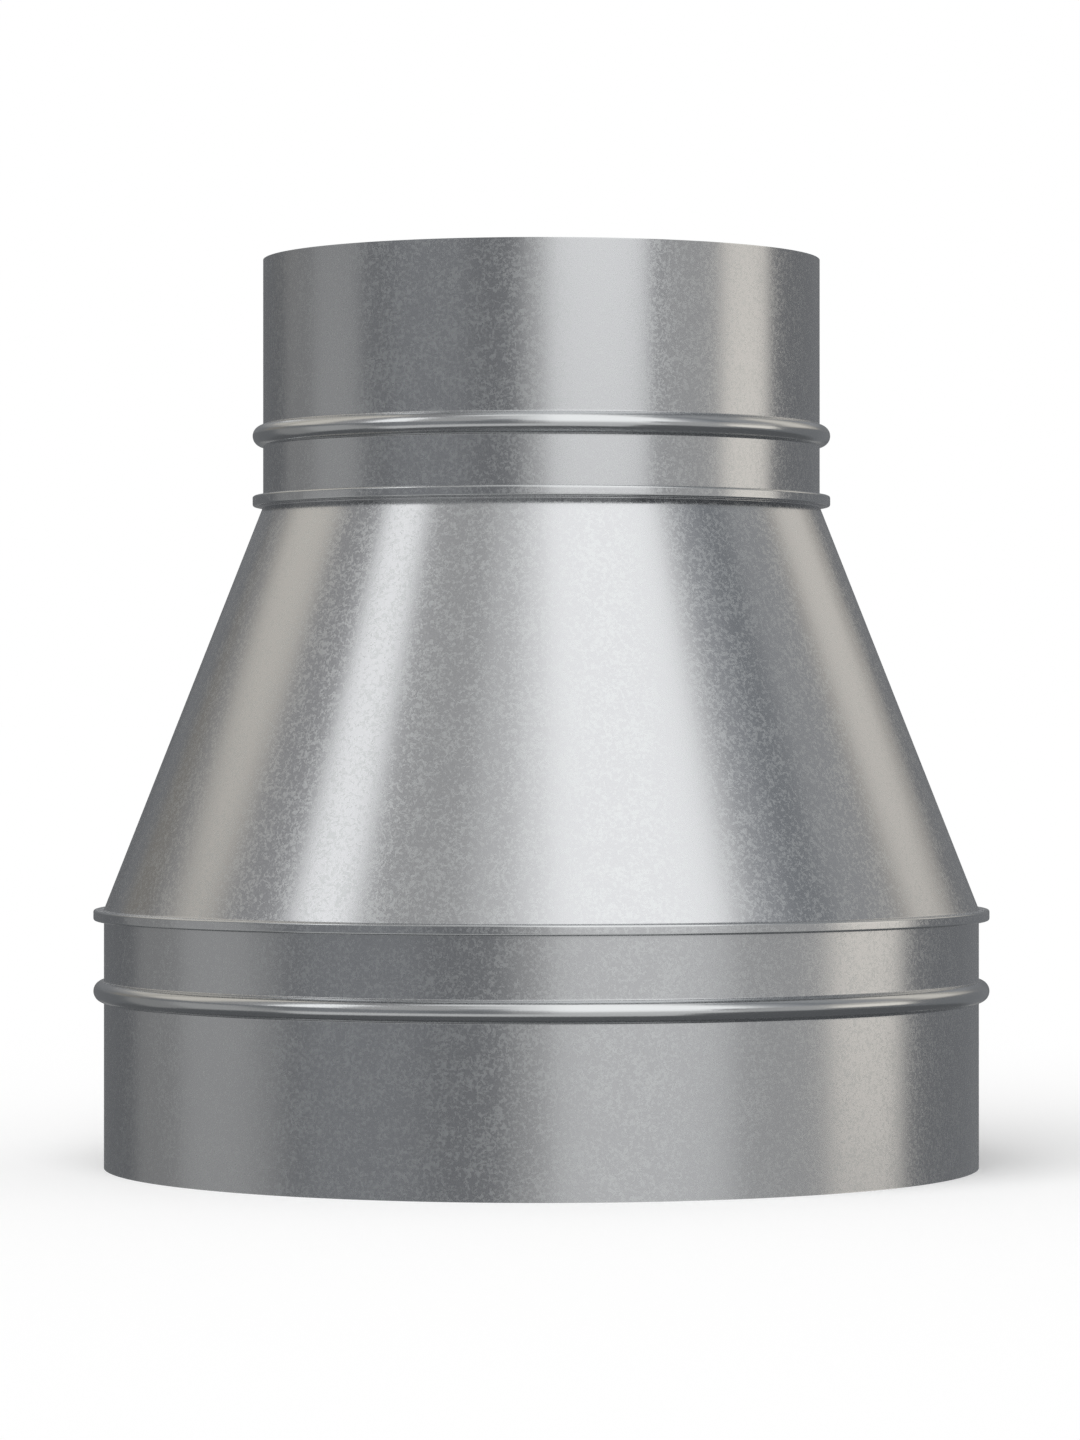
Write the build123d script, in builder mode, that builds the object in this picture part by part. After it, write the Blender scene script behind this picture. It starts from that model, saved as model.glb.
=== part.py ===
from build123d import *
import os
from math import hypot, sqrt

# Concentric reducer that joins a 250 mm round duct to a 160 mm one, standing on its large end.
# It is three formed pieces of galvanised sheet: a beaded collar at each end, and a cone
# whose two ends are folded round the collars' flanges in squared lock seams.
# Millimetres, +Z up the axis, origin at the centre of the large end's rim.

# Sheet
sheet = 0.8
bend_radius = 0.3  # inside radius of a bend
fold_radius = 0.6  # outside corners of the lock seams, pressed square

# Collars: the duct slides over the spigot as far as its stop bead
large_diameter = 249.2
small_diameter = 158.8
large_spigot = 50.2  # rim to the middle of the bead
small_spigot = 50.2
large_neck = 20.1  # middle of the bead to the lock seam
small_neck = 17.1
bead_radius = 3.0  # outside of the hollow half-round bead

# Cone and its lock seams, each a collar's flange between two layers of the cone
cone_height = 114.6  # between the lock seams
seam_reach = 3.0  # from the collar's wall
lock_clearance = 0.3  # between the layers

# Closing seams: one end of each rolled sheet is stepped inwards and runs under the other
lap = 12.0
joint_gap = 0.3  # the line that shows outside, where the upper end meets the step
lap_relief = 4.0  # the under layer is notched back this far from the folds
joint_stop = 1.0  # the joint's line stops this far short of the notch
collar_lap_azimuth = 90.0  # straight behind the reducer
cone_lap_azimuth = 105.0  # turned so that the under layers don't meet in one line

# Heights and radii that follow
large_radius = large_diameter / 2
small_radius = small_diameter / 2
seam_height = 3 * sheet + 2 * lock_clearance
large_seam_bottom = large_spigot + large_neck
cone_bottom = large_seam_bottom + seam_height
cone_top = cone_bottom + cone_height
small_seam_top = cone_top + seam_height
total_height = small_seam_top + small_neck + small_spigot
hem_step = bend_radius + lock_clearance  # keeps a hem's cut edge off the collar's bend
slope = (large_radius - small_radius) / cone_height

# Half planes through the axis, with X outwards, and Y into the reducer from each rim
from_large_rim = Plane.XZ
from_small_rim = Plane((0, 0, total_height), x_dir=(1, 0, 0), z_dir=(0, 1, 0))


def beaded_sheet(plane, radius, spigot, depth, *ends):
    """Section of one sheet from the rim over the bead, its face at a depth under the outside."""
    wall = radius - depth
    crown = bead_radius - depth
    half_bead = sqrt(crown**2 - depth**2)
    with BuildSketch(plane) as section:
        with BuildLine() as face:
            Line((wall, 0), (wall, spigot - half_bead))
            ThreePointArc(
                (wall, spigot - half_bead), (radius + crown, spigot), (wall, spigot + half_bead))
            Polyline((wall, spigot + half_bead), *ends)
            line = face.wires()[0]
            bends = [v for v in face.vertices() if Vector(v) not in (line @ 0, line @ 1)]
            fillet(bends, bend_radius + depth)
            offset(amount=sheet, side=Side.LEFT)
        make_face()
    return section.sketch


def conical_sheet(depth, relief):
    """Section of one straight layer of the cone, at a depth under the outside, clear of the folds."""
    low = cone_bottom + relief
    high = cone_top - relief

    def point(height, inset):
        return small_radius + (cone_top - height) * slope - inset * hypot(1, slope), height

    with BuildSketch(Plane.XZ) as section:
        with BuildLine():
            Polyline(
                point(low, depth), point(high, depth),
                point(high, depth + sheet), point(low, depth + sheet), close=True)
        make_face()
    return section.sketch


def seam_strip(section, azimuth, start, end):
    """What a straight strip along the closing seam keeps of a layer that goes all the way round."""
    with BuildPart() as strip:
        revolve(section, axis=Axis.Z)
        with Locations(Location((0, 0, 0), (0, 0, azimuth)) * Pos(Y=start)):
            Box(
                large_diameter, end - start, total_height,
                align=(Align.MIN, Align.MIN, Align.MIN), mode=Mode.INTERSECT)
    return strip.part


def lap_joint(upper, under, azimuth):
    """Cuts the joint's line out of the upper layer and lays the stepped end under it."""
    add(seam_strip(upper, azimuth, -lap / 2, -lap / 2 + joint_gap), mode=Mode.SUBTRACT)
    add(seam_strip(under, azimuth, -lap / 2 - sheet, lap / 2))


def make_collar(plane, radius, spigot, neck):
    """Spigot with its stop bead, and the flange that the cone's hem closes on."""
    flange = spigot + neck + sheet + lock_clearance
    flange_end = radius + seam_reach - sheet - lock_clearance
    notch = flange - lap_relief
    wall = beaded_sheet(plane, radius, spigot, 0, (radius, flange), (flange_end, flange))
    upper = beaded_sheet(plane, radius, spigot, 0, (radius, notch - joint_stop))
    under = beaded_sheet(plane, radius, spigot, sheet, (radius - sheet, notch))
    with BuildPart() as collar:
        revolve(wall, axis=Axis.Z)
        lap_joint(upper, under, collar_lap_azimuth)
    return collar.part


def make_cone():
    """Cone with both ends turned outwards and hemmed round the collars' flanges."""
    wall = sheet * hypot(1, slope)  # the sheet measured level
    small_edge = small_radius + seam_reach
    large_edge = large_radius + seam_reach
    outer_bend = bend_radius + sheet

    # Radius, height and rounding of each corner, down the outside and back up the inside
    corners = [
        (small_radius + hem_step, small_seam_top, 0),
        (small_edge, small_seam_top, fold_radius),
        (small_edge, cone_top, fold_radius),
        (small_radius, cone_top, bend_radius),
        (large_radius, cone_bottom, bend_radius),
        (large_edge, cone_bottom, fold_radius),
        (large_edge, large_seam_bottom, fold_radius),
        (large_radius + hem_step, large_seam_bottom, 0),
        (large_radius + hem_step, large_seam_bottom + sheet, 0),
        (large_edge - sheet, large_seam_bottom + sheet, 0),
        (large_edge - sheet, cone_bottom - sheet, 0),
        (large_radius - wall + slope * sheet, cone_bottom - sheet, outer_bend),
        (small_radius - wall - slope * sheet, cone_top + sheet, outer_bend),
        (small_edge - sheet, cone_top + sheet, 0),
        (small_edge - sheet, small_seam_top - sheet, 0),
        (small_radius + hem_step, small_seam_top - sheet, 0),
    ]
    with BuildPart() as cone:
        with BuildSketch(Plane.XZ):
            with BuildLine():
                FilletPolyline(
                    *[(radius, height) for radius, height, _ in corners],
                    radius=[rounding for _, _, rounding in corners], close=True)
            make_face()
        revolve(axis=Axis.Z)
        lap_joint(
            conical_sheet(0, lap_relief + joint_stop), conical_sheet(sheet, lap_relief),
            cone_lap_azimuth)
    return cone.part


small_collar = make_collar(from_small_rim, small_radius, small_spigot, small_neck)
cone = make_cone()
large_collar = make_collar(from_large_rim, large_radius, large_spigot, large_neck)

os.makedirs("parts", exist_ok=True)
for piece, name in ((small_collar, "small_collar"), (cone, "cone"), (large_collar, "large_collar")):
    piece.label = name
    export_step(piece, f"parts/{name}.step")
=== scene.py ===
from math import atan2, cos, degrees, dist, hypot, pi, radians, sin, sqrt

import bpy
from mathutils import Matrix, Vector


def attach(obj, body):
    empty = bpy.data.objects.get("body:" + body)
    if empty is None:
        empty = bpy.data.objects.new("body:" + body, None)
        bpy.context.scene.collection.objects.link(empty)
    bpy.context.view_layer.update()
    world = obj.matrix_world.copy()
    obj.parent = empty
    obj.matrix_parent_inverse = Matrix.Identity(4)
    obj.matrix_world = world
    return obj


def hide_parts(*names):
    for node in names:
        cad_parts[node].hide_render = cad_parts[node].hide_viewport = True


# Round reducer of galvanised sheet, from a 250 mm duct to a 160 mm one, standing on its large end.
# Metres, +Z up the axis, the origin at the centre of the large end's rim.
# The camera looks along +Y.

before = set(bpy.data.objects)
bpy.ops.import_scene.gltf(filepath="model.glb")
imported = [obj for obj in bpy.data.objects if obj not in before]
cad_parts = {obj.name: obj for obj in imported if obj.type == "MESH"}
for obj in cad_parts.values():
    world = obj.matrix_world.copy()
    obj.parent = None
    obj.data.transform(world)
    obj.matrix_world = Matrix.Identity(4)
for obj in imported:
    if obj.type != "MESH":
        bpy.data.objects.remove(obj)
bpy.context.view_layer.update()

mm = 0.001

# Sheet
sheet = 0.8 * mm
bend_radius = 0.3 * mm  # inside radius of a bend
fold_radius = 0.6 * mm  # outside corners of the lock seams, pressed square

# Collars, each measured from its own rim
large_radius = 124.6 * mm
small_radius = 79.4 * mm
large_spigot = 50.2 * mm  # rim to the middle of the bead
small_spigot = 50.2 * mm
large_neck = 20.1 * mm  # middle of the bead to the lock seam
small_neck = 17.1 * mm
bead_radius = 3.0 * mm

# Cone and its lock seams
cone_height = 114.6 * mm
seam_reach = 3.0 * mm
lock_clearance = 0.3 * mm

# Closing seams, on the far side
lap = 12.0 * mm
joint_gap = 0.3 * mm
lap_relief = 4.0 * mm  # the under layer stops this far from the folds
joint_stop = 1.0 * mm  # the joint's line stops this far short of the under layer's end
collar_lap_azimuth = 90.0
cone_lap_azimuth = 105.0
cut_margin = 1.0 * mm  # a collar's joint is cut from this far outside its rim
box_margin = 10.0 * mm  # added to the radius and the height that the cutting boxes cover

# Heights that follow
seam_height = 3 * sheet + 2 * lock_clearance
large_seam_bottom = large_spigot + large_neck
cone_bottom = large_seam_bottom + seam_height
cone_top = cone_bottom + cone_height
small_seam_top = cone_top + seam_height
total_height = small_seam_top + small_neck + small_spigot
hem_step = bend_radius + lock_clearance
slope = (large_radius - small_radius) / cone_height

# Fineness of the meshes
segments = 384  # round the axis
arc_step = 9.0  # degrees along a rounding
ease = 0.4 * mm  # a ring this far from each rounding keeps the flat beside it flat
shortest_side = 0.001 * mm
merge_distance = 0.0001 * mm
bite = 0.05 * mm  # the lap's under layer starts this far inside the wall it joins
sharp_angle = 32.0
bent_angles = (1.5, 4.0)  # mean angle at a point's edges, from flat sheet to bent sheet

# Spot welds that hold the laps, each a shallow electrode mark with a raised rim
weld_radius = 2.8 * mm
weld_depth = 0.3 * mm  # of the whole mark, most of it inside the sheet
weld_sink = 0.05 * mm  # its edge under the sheet's surface
weld_dish = 0.08 * mm  # its middle over its edge
weld_rim = 0.09 * mm  # its rim over its middle
weld_bank = (0.45, 0.78)  # shares of its radius where it rises from its middle to its rim
weld_shoulder = 0.8  # share of its radius from which it slopes down to its edge
weld_segments = 32
weld_rings = 10
spigot_welds = (12.0 * mm, 35.0 * mm)  # two on each spigot, from its rim
cone_welds = 5

# Finish of the sheets
patch_size = 7.0  # millimetres across a patch of more or fewer flecks
patch_weight = 0.3
fleck_levels = (0.62, 0.75)  # of the noise, from a sharp crystal to a dull one
crystal_relief = 0.006 * mm
burnished_colour = "#CED0D1"
burnished_roughness = 0.19

# Finish of the spot welds, each pair from the middle to the rim
smudge_size = 1.5  # millimetres
smudge_weight = 0.4
smudge_relief = 0.01 * mm
heat_levels = (0.6, 1.0)
weld_roughness = (0.30, 0.48)
weld_colours = ("#C4C5C6", "#A39F98")

# The set
box_step = 4.0  # degrees between a soft box's points
floor_reach = 100.0
floor_light = 0.55  # level of the world that lights the floor
shown_light = 1.0  # level of the world that the camera and reflections see
camera_distance = 1579.2 * mm  # from the reducer's axis
camera_height = 127.12 * mm
camera_shift = 0.4 * mm  # to the left of the axis


# Sections

def arc(centre, radius, start, end):
    """Points along an arc, from one angle to another in degrees."""
    steps = max(2, round(abs(end - start) / arc_step))
    angles = [radians(start + (end - start) * i / steps) for i in range(steps + 1)]
    return [(centre[0] + radius * cos(a), centre[1] + radius * sin(a)) for a in angles]


def beaded_face(radius, spigot, depth, stop, flange_end=None):
    """Face of a collar's sheet at a depth under its outside, as (radius, distance from the rim)."""
    wall = radius - depth
    root = bend_radius + depth
    rise = sqrt((bead_radius + bend_radius) ** 2 - bend_radius**2)
    lean = degrees(atan2(rise, bend_radius))
    points = [(wall, 0)]
    points += arc((radius + bend_radius, spigot - rise), root, 180, 180 - lean)
    points += arc((radius, spigot), bead_radius - depth, -lean, lean)
    points += arc((radius + bend_radius, spigot + rise), root, lean - 180, -180)
    if flange_end is None:
        return points + [(wall, stop)]
    points += arc((radius + bend_radius, stop - bend_radius), root, 180, 90)
    return points + [(flange_end, stop + depth)]


def rounded(corners):
    """Closed outline through (radius, height, rounding) corners, each turned into its arc."""
    points = []
    for i, (x, y, rounding) in enumerate(corners):
        if not rounding:
            points.append((x, y))
            continue
        here = Vector((x, y))
        back = (Vector(corners[i - 1][:2]) - here).normalized()
        ahead = (Vector(corners[(i + 1) % len(corners)][:2]) - here).normalized()
        half = back.angle(ahead) / 2
        centre = here + (back + ahead).normalized() * rounding / sin(half)
        touch = here + back * rounding / (1 / cos(half) * sin(half))
        leave = here + ahead * rounding / (1 / cos(half) * sin(half))
        start = atan2(touch.y - centre.y, touch.x - centre.x)
        end = atan2(leave.y - centre.y, leave.x - centre.x)
        turn = (end - start + pi) % (2 * pi) - pi
        points += arc(centre, rounding, degrees(start), degrees(start + turn))
    return points


def eased(points):
    """The same closed outline, with a point close to each end of its longer straights."""
    made = []
    for i, here in enumerate(points):
        ahead = points[(i + 1) % len(points)]
        length = dist(here, ahead)
        if length < shortest_side:
            continue
        made.append(here)
        if length > 3 * ease:
            for along in (ease / length, 1 - ease / length):
                made.append(tuple(Vector(here).lerp(Vector(ahead), along)))
    return made


def collar_sections(radius, spigot, neck):
    """Closed outlines of a collar's sheet and of its lap's under layer, and where its joint ends.

    All are measured from the rim.
    """
    flange = spigot + neck + sheet + lock_clearance
    flange_end = radius + seam_reach - sheet - lock_clearance
    notch = flange - lap_relief
    wall = beaded_face(radius, spigot, sheet, flange, flange_end)
    wall += reversed(beaded_face(radius, spigot, 0, flange, flange_end))
    under = beaded_face(radius, spigot, 2 * sheet, notch)
    under += reversed(beaded_face(radius, spigot, sheet - bite, notch))
    return eased(wall), eased(under), notch - joint_stop


def cone_sections():
    """Closed outlines of the cone with its two hems, and of its lap's under layer."""
    level = sheet * hypot(1, slope)
    small_edge = small_radius + seam_reach
    large_edge = large_radius + seam_reach
    outer_bend = bend_radius + sheet
    wall = rounded([
        (small_radius + hem_step, small_seam_top, 0),
        (small_edge, small_seam_top, fold_radius),
        (small_edge, cone_top, fold_radius),
        (small_radius, cone_top, bend_radius),
        (large_radius, cone_bottom, bend_radius),
        (large_edge, cone_bottom, fold_radius),
        (large_edge, large_seam_bottom, fold_radius),
        (large_radius + hem_step, large_seam_bottom, 0),
        (large_radius + hem_step, large_seam_bottom + sheet, 0),
        (large_edge - sheet, large_seam_bottom + sheet, 0),
        (large_edge - sheet, cone_bottom - sheet, 0),
        (large_radius - level + slope * sheet, cone_bottom - sheet, outer_bend),
        (small_radius - level - slope * sheet, cone_top + sheet, outer_bend),
        (small_edge - sheet, cone_top + sheet, 0),
        (small_edge - sheet, small_seam_top - sheet, 0),
        (small_radius + hem_step, small_seam_top - sheet, 0),
    ])

    def corner(height, inset):
        return small_radius + (cone_top - height) * slope - inset * hypot(1, slope), height, 0

    low = cone_bottom + lap_relief
    high = cone_top - lap_relief
    under = rounded([
        corner(low, sheet - bite), corner(low, 2 * sheet),
        corner(high, 2 * sheet), corner(high, sheet - bite)])
    return eased(wall), eased(under)


# Pieces

def new_object(name, data):
    """An object in the scene that shows a mesh, a light or a camera."""
    made = bpy.data.objects.new(name, data)
    bpy.context.scene.collection.objects.link(made)
    return made


def section_object(name, wall, under):
    """The two outlines as edge loops, the under layer's points marked with an attribute."""
    mesh = bpy.data.meshes.new(name)
    points = [(x, y, 0) for x, y in wall + under]
    edges = [(i, (i + 1) % len(wall)) for i in range(len(wall))]
    edges += [(len(wall) + i, len(wall) + (i + 1) % len(under)) for i in range(len(under))]
    mesh.from_pydata(points, edges, [])
    marks = mesh.attributes.new("under", "BOOLEAN", "POINT")
    marks.data.foreach_set("value", [False] * len(wall) + [True] * len(under))
    return new_object(name, mesh)


# Node trees

def add(tree, kind, inputs=None, **settings):
    """Adds a node, sets its properties, and gives each socket a value or another node's output."""
    made = tree.nodes.new(kind)
    for name, value in settings.items():
        setattr(made, name, value)
    for socket, value in (inputs or {}).items():
        if isinstance(value, bpy.types.NodeSocket):
            tree.links.new(value, made.inputs[socket])
        else:
            made.inputs[socket].default_value = value
    return made


def new_geometry_tree(name, inputs):
    """An empty geometry tree with its named inputs, and its input node."""
    tree = bpy.data.node_groups.new(name, "GeometryNodeTree")
    tree.interface.new_socket("Geometry", in_out="OUTPUT", socket_type="NodeSocketGeometry")
    for label, kind in inputs.items():
        tree.interface.new_socket(label, in_out="INPUT", socket_type=kind)
    return tree, tree.nodes.new("NodeGroupInput")


def finish_geometry_tree(tree, mesh, material):
    """Smooth faces with sharp creases, real geometry and the material, at the tree's end.

    Where the sheet is bent outwards, its points get the attribute "bent", because the tools that
    bend it burnish the zinc there.
    """
    smooth = add(
        tree, "GeometryNodeSetShadeSmooth", {"Geometry": mesh, "Shade Smooth": True}, domain="FACE")
    angle = add(tree, "GeometryNodeInputMeshEdgeAngle")
    crease = add(
        tree, "ShaderNodeMath", {0: angle.outputs["Unsigned Angle"], 1: radians(sharp_angle)},
        operation="GREATER_THAN")
    creased = add(tree, "GeometryNodeSetShadeSmooth", {
        "Geometry": smooth.outputs[0], "Selection": crease.outputs[0], "Shade Smooth": False},
        domain="EDGE")
    bent = add(tree, "ShaderNodeMapRange", {
        "Value": angle.outputs["Signed Angle"],
        "From Min": radians(bent_angles[0]), "From Max": radians(bent_angles[1])})
    marked = add(tree, "GeometryNodeStoreNamedAttribute", {
        "Geometry": creased.outputs[0], "Name": "bent", "Value": bent.outputs[0]},
        data_type="FLOAT", domain="POINT")
    real = add(tree, "GeometryNodeRealizeInstances", {0: marked.outputs[0]})
    painted = add(tree, "GeometryNodeSetMaterial", {
        "Geometry": real.outputs[0], "Material": material})
    add(tree, "NodeGroupOutput", {0: painted.outputs[0]})


def rolled_sheet_tree():
    """Turns a section into a rolled sheet, cuts its joint's line and lays the under layer there."""
    tree, given = new_geometry_tree("rolled_sheet", {
        "Section": "NodeSocketGeometry",
        "Segments": "NodeSocketInt",
        "Path radius": "NodeSocketFloat",
        "Merge distance": "NodeSocketFloat",
        "Lap azimuth": "NodeSocketFloat",
        "Joint size": "NodeSocketVector",
        "Joint centre": "NodeSocketVector",
        "Strip size": "NodeSocketVector",
        "Strip centre": "NodeSocketVector",
        "Material": "NodeSocketMaterial",
    })
    path = add(tree, "GeometryNodeCurvePrimitiveCircle", {
        "Resolution": given.outputs["Segments"], "Radius": given.outputs["Path radius"]})
    inwards = add(tree, "ShaderNodeMath", {
        0: given.outputs["Path radius"], 1: -1.0}, operation="MULTIPLY")
    onto_path = add(tree, "ShaderNodeCombineXYZ", {"X": inwards.outputs[0]})
    mark = add(tree, "GeometryNodeInputNamedAttribute", {"Name": "under"}, data_type="BOOLEAN")
    parted = add(tree, "GeometryNodeSeparateGeometry", {
        "Geometry": given.outputs["Section"], "Selection": mark.outputs["Attribute"]})
    turn = add(tree, "ShaderNodeCombineXYZ", {"Z": given.outputs["Lap azimuth"]})
    rings = []
    for loop in (parted.outputs["Inverted"], parted.outputs["Selection"]):
        moved = add(tree, "GeometryNodeTransform", {
            "Geometry": loop, "Translation": onto_path.outputs[0], "Rotation": (pi, 0, 0)})
        outline = add(tree, "GeometryNodeMeshToCurve", {"Mesh": moved.outputs[0]})
        ring = add(tree, "GeometryNodeCurveToMesh", {
            "Curve": path.outputs[0], "Profile Curve": outline.outputs[0]})
        rings.append(ring.outputs[0])
    boxes = []
    for box in ("Joint", "Strip"):
        cube = add(tree, "GeometryNodeMeshCube", {"Size": given.outputs[f"{box} size"]})
        placed = add(tree, "GeometryNodeTransform", {
            "Geometry": cube.outputs["Mesh"], "Translation": given.outputs[f"{box} centre"]})
        turned = add(tree, "GeometryNodeTransform", {
            "Geometry": placed.outputs[0], "Rotation": turn.outputs[0]})
        boxes.append(turned.outputs[0])
    cut = add(
        tree, "GeometryNodeMeshBoolean", {0: rings[0], 1: boxes[0]},
        operation="DIFFERENCE", solver="MANIFOLD")
    strip = add(
        tree, "GeometryNodeMeshBoolean", {1: rings[1]},
        operation="INTERSECT", solver="MANIFOLD")
    tree.links.new(boxes[1], strip.inputs[1])
    joined = add(
        tree, "GeometryNodeMeshBoolean", {1: cut.outputs[0]},
        operation="UNION", solver="MANIFOLD")
    tree.links.new(strip.outputs[0], joined.inputs[1])
    merged = add(tree, "GeometryNodeMergeByDistance", {
        "Geometry": joined.outputs[0], "Distance": given.outputs["Merge distance"]})
    finish_geometry_tree(tree, merged.outputs[0], given.outputs["Material"])
    return tree


def weld_row_tree():
    """Puts a spot weld's mark on each of the piece's points, facing along the given normal."""
    tree, given = new_geometry_tree("weld_row", {
        "Points": "NodeSocketGeometry",
        "Normal": "NodeSocketVector",
        "Radius": "NodeSocketFloat",
        "Depth": "NodeSocketFloat",
        "Middle height": "NodeSocketFloat",
        "Rim height": "NodeSocketFloat",
        "Sink": "NodeSocketVector",
        "Material": "NodeSocketMaterial",
    })
    button = add(tree, "GeometryNodeMeshCylinder", {
        "Vertices": weld_segments, "Side Segments": 1, "Fill Segments": weld_rings,
        "Radius": given.outputs["Radius"], "Depth": given.outputs["Depth"]},
        fill_type="TRIANGLE_FAN")
    place = add(tree, "GeometryNodeInputPosition")
    parts = add(tree, "ShaderNodeSeparateXYZ", {"Vector": place.outputs[0]})
    level = add(tree, "ShaderNodeCombineXYZ", {"X": parts.outputs["X"], "Y": parts.outputs["Y"]})
    reach = add(tree, "ShaderNodeVectorMath", {0: level.outputs[0]}, operation="LENGTH")
    share = add(tree, "ShaderNodeMath", {
        0: reach.outputs["Value"], 1: given.outputs["Radius"]}, operation="DIVIDE")
    top = add(tree, "ShaderNodeMath", {0: parts.outputs["Z"], 1: 0.0}, operation="GREATER_THAN")
    edge = add(tree, "ShaderNodeMapRange", {
        "Value": share.outputs[0], "From Min": 1.0, "From Max": weld_shoulder},
        interpolation_type="SMOOTHSTEP")
    bank = add(tree, "ShaderNodeMapRange", {
        "Value": share.outputs[0], "From Min": weld_bank[0], "From Max": weld_bank[1],
        "To Min": given.outputs["Middle height"], "To Max": given.outputs["Rim height"]},
        interpolation_type="SMOOTHSTEP")
    height = add(
        tree, "ShaderNodeMath", {0: edge.outputs[0], 1: bank.outputs[0]}, operation="MULTIPLY")
    lift = add(tree, "ShaderNodeCombineXYZ", {"Z": height.outputs[0]})
    pressed = add(tree, "GeometryNodeSetPosition", {
        "Geometry": button.outputs["Mesh"], "Selection": top.outputs[0], "Offset": lift.outputs[0]})
    marked = add(tree, "GeometryNodeStoreNamedAttribute", {
        "Geometry": pressed.outputs[0], "Name": "from_middle", "Value": share.outputs[0]},
        data_type="FLOAT", domain="POINT")
    sunk = add(tree, "GeometryNodeTransform", {
        "Geometry": marked.outputs[0], "Translation": given.outputs["Sink"]})
    facing = add(
        tree, "FunctionNodeAlignRotationToVector", {"Vector": given.outputs["Normal"]}, axis="Z")
    row = add(tree, "GeometryNodeInstanceOnPoints", {
        "Points": given.outputs["Points"], "Instance": sunk.outputs[0],
        "Rotation": facing.outputs[0]})
    real = add(tree, "GeometryNodeRealizeInstances", {0: row.outputs[0]})
    finish_geometry_tree(tree, real.outputs[0], given.outputs["Material"])
    return tree


def apply_tree(piece, tree, values):
    """Puts a tree on a piece with its inputs set, and keeps the result as its plain mesh."""
    modifier = piece.modifiers.new(tree.name, "NODES")
    modifier.node_group = tree
    for item in tree.interface.items_tree:
        if item.in_out == "INPUT" and item.name in values:
            modifier[item.identifier] = values[item.name]
    piece.update_tag()
    depsgraph = bpy.context.evaluated_depsgraph_get()
    mesh = bpy.data.meshes.new_from_object(piece.evaluated_get(depsgraph))
    piece.modifiers.remove(modifier)
    piece.data = mesh
    mesh.name = piece.name


# Finishes

def linear(code):
    """An sRGB hex colour as linear red, green, blue and 1."""
    parts = [int(code[i:i + 2], 16) / 255 for i in (1, 3, 5)]
    parts = [c / 12.92 if c <= 0.04045 else ((c + 0.055) / 1.055) ** 2.4 for c in parts]
    return (*parts, 1)


def per_mm(size):
    """Scale of a pattern whose features are this many millimetres across."""
    return 1 / (size * mm)


def new_material(name):
    """A material with an empty node tree, and that tree."""
    material = bpy.data.materials.new(name)
    material.use_nodes = True
    material.node_tree.nodes.clear()
    return material, material.node_tree


def galvanised_sheet(name, light, dark, crystal, sharp, dull):
    """Hot-dip galvanised steel sheet, skin passed: a satin zinc coat of fine crystals.

    The crystals, about a millimetre across, differ in how sharply they mirror. The duller ones
    gather light from further round, so they show as pale flecks where the sheet mirrors something
    dark, and hardly at all where it mirrors an even light. They lie in patches of more and fewer.
    The rolls that form the beads and folds press them smooth.
    """
    material, tree = new_material(name)
    place = add(tree, "ShaderNodeTexCoord")
    crystals = add(tree, "ShaderNodeTexNoise", {
        "Vector": place.outputs["Object"], "Scale": per_mm(crystal), "Detail": 2.0,
        "Roughness": 0.6, "Distortion": 0.8})
    patches = add(tree, "ShaderNodeTexNoise", {
        "Vector": place.outputs["Object"], "Scale": per_mm(patch_size), "Detail": 3.0,
        "Roughness": 0.6})
    gathered = add(tree, "ShaderNodeMath", {
        0: patches.outputs["Fac"], 1: patch_weight, 2: crystals.outputs["Fac"]},
        operation="MULTIPLY_ADD")
    flecks = add(tree, "ShaderNodeMapRange", {
        "Value": gathered.outputs[0], "From Min": fleck_levels[0], "From Max": fleck_levels[1]},
        interpolation_type="SMOOTHSTEP")
    rough = add(tree, "ShaderNodeMapRange", {
        "Value": flecks.outputs[0], "To Min": sharp, "To Max": dull})
    bent = add(tree, "ShaderNodeAttribute", attribute_name="bent")
    worked = add(tree, "ShaderNodeMix", {
        "Factor": bent.outputs["Fac"], "A": rough.outputs[0], "B": burnished_roughness},
        data_type="FLOAT")
    coat = add(tree, "ShaderNodeMix", {
        "Factor": flecks.outputs[0], "A": linear(dark), "B": linear(light)}, data_type="RGBA")
    colour = add(tree, "ShaderNodeMix", {
        "Factor": bent.outputs["Fac"], "A": coat.outputs["Result"],
        "B": linear(burnished_colour)}, data_type="RGBA")
    bump = add(tree, "ShaderNodeBump", {
        "Height": crystals.outputs["Fac"], "Distance": crystal_relief, "Strength": 1.0})
    metal = add(tree, "ShaderNodeBsdfPrincipled", {
        "Base Color": colour.outputs["Result"], "Metallic": 1.0,
        "Roughness": worked.outputs["Result"], "Normal": bump.outputs[0]})
    add(tree, "ShaderNodeOutputMaterial", {"Surface": metal.outputs[0]})
    return material


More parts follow.
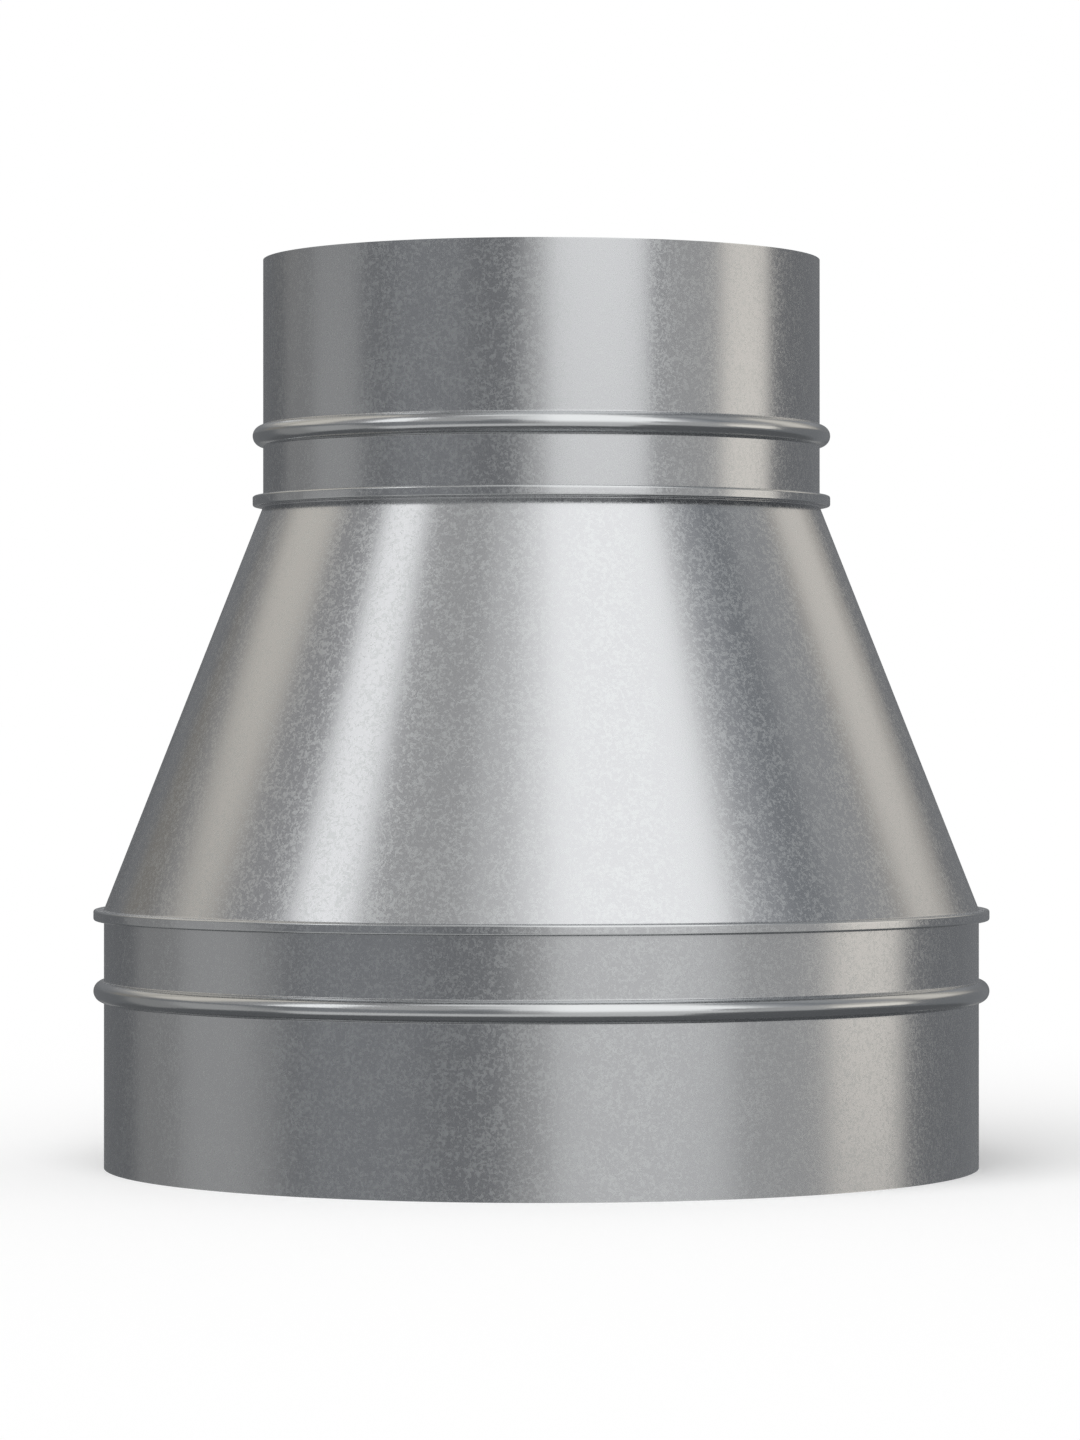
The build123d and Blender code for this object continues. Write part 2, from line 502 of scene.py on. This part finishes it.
def spot_welded_zinc():
    """The electrodes' marks: zinc pressed bright in the middle, dulled by heat at the rim."""
    material, tree = new_material("spot_welded_zinc")
    place = add(tree, "ShaderNodeTexCoord")
    from_middle = add(tree, "ShaderNodeAttribute", attribute_name="from_middle")
    smudge = add(tree, "ShaderNodeTexNoise", {
        "Vector": place.outputs["Object"], "Scale": per_mm(smudge_size), "Detail": 3.0})
    uneven = add(tree, "ShaderNodeMath", {
        0: smudge.outputs["Fac"], 1: smudge_weight, 2: from_middle.outputs["Fac"]},
        operation="MULTIPLY_ADD")
    heat = add(tree, "ShaderNodeMapRange", {
        "Value": uneven.outputs[0], "From Min": heat_levels[0], "From Max": heat_levels[1]},
        interpolation_type="SMOOTHSTEP")
    rough = add(tree, "ShaderNodeMapRange", {
        "Value": heat.outputs[0], "To Min": weld_roughness[0], "To Max": weld_roughness[1]})
    colour = add(tree, "ShaderNodeMix", {
        "Factor": heat.outputs[0], "A": linear(weld_colours[0]), "B": linear(weld_colours[1])},
        data_type="RGBA")
    bump = add(tree, "ShaderNodeBump", {
        "Height": smudge.outputs["Fac"], "Distance": smudge_relief, "Strength": 1.0})
    metal = add(tree, "ShaderNodeBsdfPrincipled", {
        "Base Color": colour.outputs["Result"], "Metallic": 1.0, "Roughness": rough.outputs[0],
        "Normal": bump.outputs[0]})
    add(tree, "ShaderNodeOutputMaterial", {"Surface": metal.outputs[0]})
    return material


# The reducer

def rolled(name, tree, wall, under, azimuth, low, high, material):
    """One formed sheet in place of the node of the same name, its joint between two heights."""
    piece = section_object(name + "_sheet", wall, under)
    length = large_radius + box_margin
    apply_tree(piece, tree, {
        "Segments": segments,
        "Path radius": large_radius,
        "Merge distance": merge_distance,
        "Lap azimuth": radians(azimuth),
        "Joint size": (length, joint_gap, high - low),
        "Joint centre": (length / 2, (joint_gap - lap) / 2, (low + high) / 2),
        "Strip size": (length, lap + sheet, total_height + box_margin),
        "Strip centre": (length / 2, -sheet / 2, total_height / 2),
        "Material": material,
    })
    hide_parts(name)
    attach(piece, "root")


def weld_row(name, tree, azimuth, places, material, slope_angle=0.0):
    """Marks on both sides of a two-layer lap, at (radius, height) places on its outer face."""
    turn = radians(azimuth)
    tilt = radians(slope_angle)
    normal = Vector((cos(turn) * cos(tilt), sin(turn) * cos(tilt), sin(tilt)))
    for side, depth in ((1, 0.0), (-1, 2 * sheet)):
        mesh = bpy.data.meshes.new(name)
        mesh.from_pydata([
            Vector((radius * cos(turn), radius * sin(turn), height)) - normal * depth
            for radius, height in places], [], [])
        piece = new_object(name + ("_outside" if side > 0 else "_inside"), mesh)
        apply_tree(piece, tree, {
            "Normal": normal * side,
            "Radius": weld_radius,
            "Depth": weld_depth,
            "Middle height": weld_dish,
            "Rim height": weld_dish + weld_rim,
            "Sink": (0, 0, -weld_sink - weld_depth / 2),
            "Material": material,
        })
        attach(piece, "root")


collar_finish = galvanised_sheet(
    "galvanised_collar_sheet", light="#CFD1D2", dark="#C7C8CA", crystal=0.95,
    sharp=0.22, dull=0.31)
cone_finish = galvanised_sheet(
    "galvanised_cone_sheet", light="#D3D5D6", dark="#C9CACC", crystal=1.1,
    sharp=0.195, dull=0.295)
weld_finish = spot_welded_zinc()
rolling = rolled_sheet_tree()

wall, under, joint_end = collar_sections(large_radius, large_spigot, large_neck)
rolled("large_collar", rolling, wall, under, collar_lap_azimuth, -cut_margin, joint_end,
       collar_finish)

wall, under = cone_sections()
rolled("cone", rolling, wall, under, cone_lap_azimuth, cone_bottom + lap_relief + joint_stop,
       cone_top - lap_relief - joint_stop, cone_finish)

*outlines, joint_end = collar_sections(small_radius, small_spigot, small_neck)
wall, under = [
    [(x, total_height - y) for x, y in reversed(outline)] for outline in outlines]
rolled("small_collar", rolling, wall, under, collar_lap_azimuth, total_height - joint_end,
       total_height + cut_margin, collar_finish)

# Spot welds down each lap: two on each spigot, one on each neck, and some down the cone
welding = weld_row_tree()
large_places = [
    (large_radius, height) for height in (*spigot_welds, large_spigot + large_neck / 2)]
weld_row("large_collar_welds", welding, collar_lap_azimuth, large_places, weld_finish)
small_places = [
    (small_radius, total_height - depth)
    for depth in (*spigot_welds, small_spigot + small_neck / 2)]
weld_row("small_collar_welds", welding, collar_lap_azimuth, small_places, weld_finish)
cone_heights = [cone_bottom + cone_height * (i + 0.5) / cone_welds for i in range(cone_welds)]
cone_places = [
    (small_radius + (cone_top - height) * slope, height) for height in cone_heights]
weld_row("cone_welds", welding, cone_lap_azimuth, cone_places, weld_finish,
         slope_angle=degrees(atan2(slope, 1)))


# The set: a white floor and world, and the dim room and soft boxes that the metal mirrors

def glow(name, colour, level):
    """An even glow, not sampled as a lamp, because only reflections see it."""
    material, tree = new_material(name)
    light = add(tree, "ShaderNodeEmission", {"Color": linear(colour), "Strength": level})
    add(tree, "ShaderNodeOutputMaterial", {"Surface": light.outputs[0]})
    material.cycles.emission_sampling = "NONE"
    return material


def mirrored_only(stage_piece):
    """Only reflections see this piece of the set, so it can't shade the floor or block a camera."""
    stage_piece.visible_camera = False
    stage_piece.visible_diffuse = False
    stage_piece.visible_shadow = False
    stage_piece.visible_transmission = False
    stage_piece.visible_volume_scatter = False


def soft_box(name, azimuths, elevations, distance, material):
    """Part of a sphere round the reducer.

    Azimuth 0 is the camera's side, and more turns to the camera's right.
    """
    columns = max(2, round((azimuths[1] - azimuths[0]) / box_step))
    rows = max(2, round((elevations[1] - elevations[0]) / box_step))
    points = []
    for row in range(rows + 1):
        up = radians(elevations[0] + (elevations[1] - elevations[0]) * row / rows)
        for column in range(columns + 1):
            turn = radians(azimuths[0] + (azimuths[1] - azimuths[0]) * column / columns)
            points.append((
                distance * cos(up) * sin(turn), -distance * cos(up) * cos(turn),
                distance * sin(up) + total_height / 2))
    faces = [
        (row * (columns + 1) + column, row * (columns + 1) + column + 1,
         (row + 1) * (columns + 1) + column + 1, (row + 1) * (columns + 1) + column)
        for row in range(rows) for column in range(columns)]
    mesh = bpy.data.meshes.new(name)
    mesh.from_pydata(points, [], faces)
    mesh.materials.append(material)
    mirrored_only(new_object(name, mesh))


# Name, azimuths, elevations, distance, colour and level.
# Where two lie in one direction, only the nearer one is mirrored.
soft_boxes = [
    ("room_low", (-180, 180), (-90, -18), 9.0, "#F7FAFF", 0.13),
    ("room_middle", (-180, 180), (-18, 16), 9.0, "#F7FAFF", 0.22),
    ("room_back", (165, 232), (-18, 6), 8.0, "#F7FAFF", 0.17),
    ("room_high", (-180, 180), (16, 90), 9.0, "#F7FAFF", 0.32),
    ("room_high_left", (-170, -52), (16, 75), 8.5, "#FDFDFF", 0.32),
    ("front_box", (2, 55), (16, 80), 6.0, "#FFFFFF", 1.30),
    ("front_box_left_edge", (-8, 2), (16, 80), 6.0, "#FFFFFF", 1.0),
    ("front_box_right_edge", (55, 62), (16, 80), 6.0, "#FFFFFF", 0.75),
    ("front_box_foot", (2, 44), (2, 16), 6.0, "#FFFFFF", 1.17),
    ("front_box_skirt", (2, 50), (-18, 2), 6.0, "#FFFFFF", 0.70),
    ("front_box_low_edge", (-8, 2), (2, 16), 6.0, "#FFFFFF", 0.55),
    ("front_box_skirt_edge", (-8, 2), (-18, 2), 6.0, "#FFFFFF", 0.40),
    ("front_box_side", (-22, -8), (30, 62), 6.0, "#FFFFFF", 0.69),
    ("table_glow", (-75, 40), (-42, -18), 6.5, "#FFFFFF", 0.65),
    ("left_spot", (-74.5, -54), (18, 50), 6.0, "#FFFFFF", 1.36),
    ("left_gap", (-103, -72), (18, 60), 8.0, "#FDFDFF", 0.36),
    ("left_window", (-127, -103), (20.5, 62), 6.0, "#FFF9EF", 0.76),
    ("left_window_edge", (-135, -98), (19, 62), 6.2, "#FFF9EF", 0.52),
    ("left_window_lean", (-104, -98.5), (26.5, 62), 6.1, "#FFF9EF", 0.72),
    ("left_window_back", (-154, -135), (22, 55), 6.0, "#FFF9EF", 0.64),
    ("left_window_skirt", (-144, -124), (8, 16), 7.0, "#FFF9EF", 0.265),
    ("left_glow_far", (-130, -104), (-28, 8), 6.2, "#FFFFFF", 0.29),
    ("left_glow", (-106, -79), (-28, 8), 6.0, "#FFFFFF", 0.42),
    ("left_glow_near", (-79, -70), (-28, -1), 6.0, "#FFFFFF", 0.36),
    ("left_low_fill", (-62, -30), (-15, 13), 7.0, "#F7FAFF", 0.28),
    ("left_fill", (-52, -22), (13, 60), 7.0, "#FFFFFF", 0.46),
    ("right_fill", (50, 77), (-16, 18), 6.5, "#FFFFFF", 0.46),
    ("right_gap_edge", (61, 74), (18, 60), 7.5, "#F7FAFF", 0.41),
    ("right_gap", (70, 87), (18, 60), 8.0, "#F2F8FF", 0.27),
    ("right_high_fill", (88, 118), (21, 60), 7.0, "#FAFCFF", 0.39),
    ("right_window", (78, 106), (-7.5, 9), 6.0, "#FFF9F0", 1.07),
    ("right_window_top", (78, 106), (9, 21), 6.0, "#FFFAF3", 0.62),
    ("right_back_window", (117, 138), (14, 45), 6.0, "#FFF9F0", 0.81),
    ("right_back_window_edge", (111, 147), (11, 45), 6.2, "#FFF9F0", 0.50),
    ("ceiling_box", (-60, 90), (62, 88), 7.0, "#FFFFFF", 0.95),
    ("back_box", (166, 206), (26, 74), 6.0, "#FFFFFF", 1.15),
    ("back_box_side", (206, 216), (26, 60), 6.0, "#FFFFFF", 0.50),
    ("back_low_box", (164, 196), (-30, -10), 6.0, "#FFFFFF", 0.30),
    ("back_table_glow", (150, 205), (-50, -30), 6.5, "#FFFFFF", 0.42),
]
for name, azimuths, elevations, distance, colour, level in soft_boxes:
    soft_box(name, azimuths, elevations, distance, glow(name, colour, level))

floor_material, floor_tree = new_material("white_floor")
floor_paint = add(floor_tree, "ShaderNodeBsdfDiffuse", {"Color": linear("#FFFFFF")})
add(floor_tree, "ShaderNodeOutputMaterial", {"Surface": floor_paint.outputs[0]})
floor_corners = [
    (x * floor_reach, y * floor_reach, 0) for x, y in ((-1, -1), (1, -1), (1, 1), (-1, 1))]
floor_mesh = bpy.data.meshes.new("floor")
floor_mesh.from_pydata(floor_corners, [], [(0, 1, 2, 3)])
floor_mesh.materials.append(floor_material)
floor = new_object("floor", floor_mesh)
floor.visible_glossy = False

world = bpy.data.worlds.new("white_world")
world.use_nodes = True
world_tree = world.node_tree
world_tree.nodes.clear()
ray = add(world_tree, "ShaderNodeLightPath")
direct = add(world_tree, "ShaderNodeMath", {
    0: ray.outputs["Is Camera Ray"], 1: ray.outputs["Is Glossy Ray"]}, operation="MAXIMUM")
seen = add(world_tree, "ShaderNodeMath", {
    0: direct.outputs[0], 1: ray.outputs["Is Transmission Ray"]}, operation="MAXIMUM")
lit = add(world_tree, "ShaderNodeBackground", {
    "Color": linear("#FFFFFF"), "Strength": floor_light})
shown = add(world_tree, "ShaderNodeBackground", {
    "Color": linear("#FFFFFF"), "Strength": shown_light})
mixed = add(world_tree, "ShaderNodeMixShader", {
    0: seen.outputs[0], 1: lit.outputs[0], 2: shown.outputs[0]})
add(world_tree, "ShaderNodeOutputWorld", {"Surface": mixed.outputs[0]})
world.cycles.sampling_method = "NONE"
bpy.context.scene.world = world

sun = bpy.data.lights.new("soft_sun", "SUN")
sun.energy = 1.73
sun.angle = radians(60)
sun_lamp = new_object("soft_sun", sun)
sun_lamp.rotation_euler = (radians(35), 0, radians(-20))
sun_lamp.visible_glossy = False

bpy.context.scene.view_settings.view_transform = "Standard"

# The camera stands level, far back with a long lens
camera = bpy.data.cameras.new("camera")
camera.lens = 138.19
camera.sensor_width = 36.0
camera.clip_end = 300.0
camera_object = new_object("camera", camera)
camera_object.location = (-camera_shift, -camera_distance, camera_height)
camera_object.rotation_euler = (radians(90), 0, 0)
bpy.context.scene.camera = camera_object
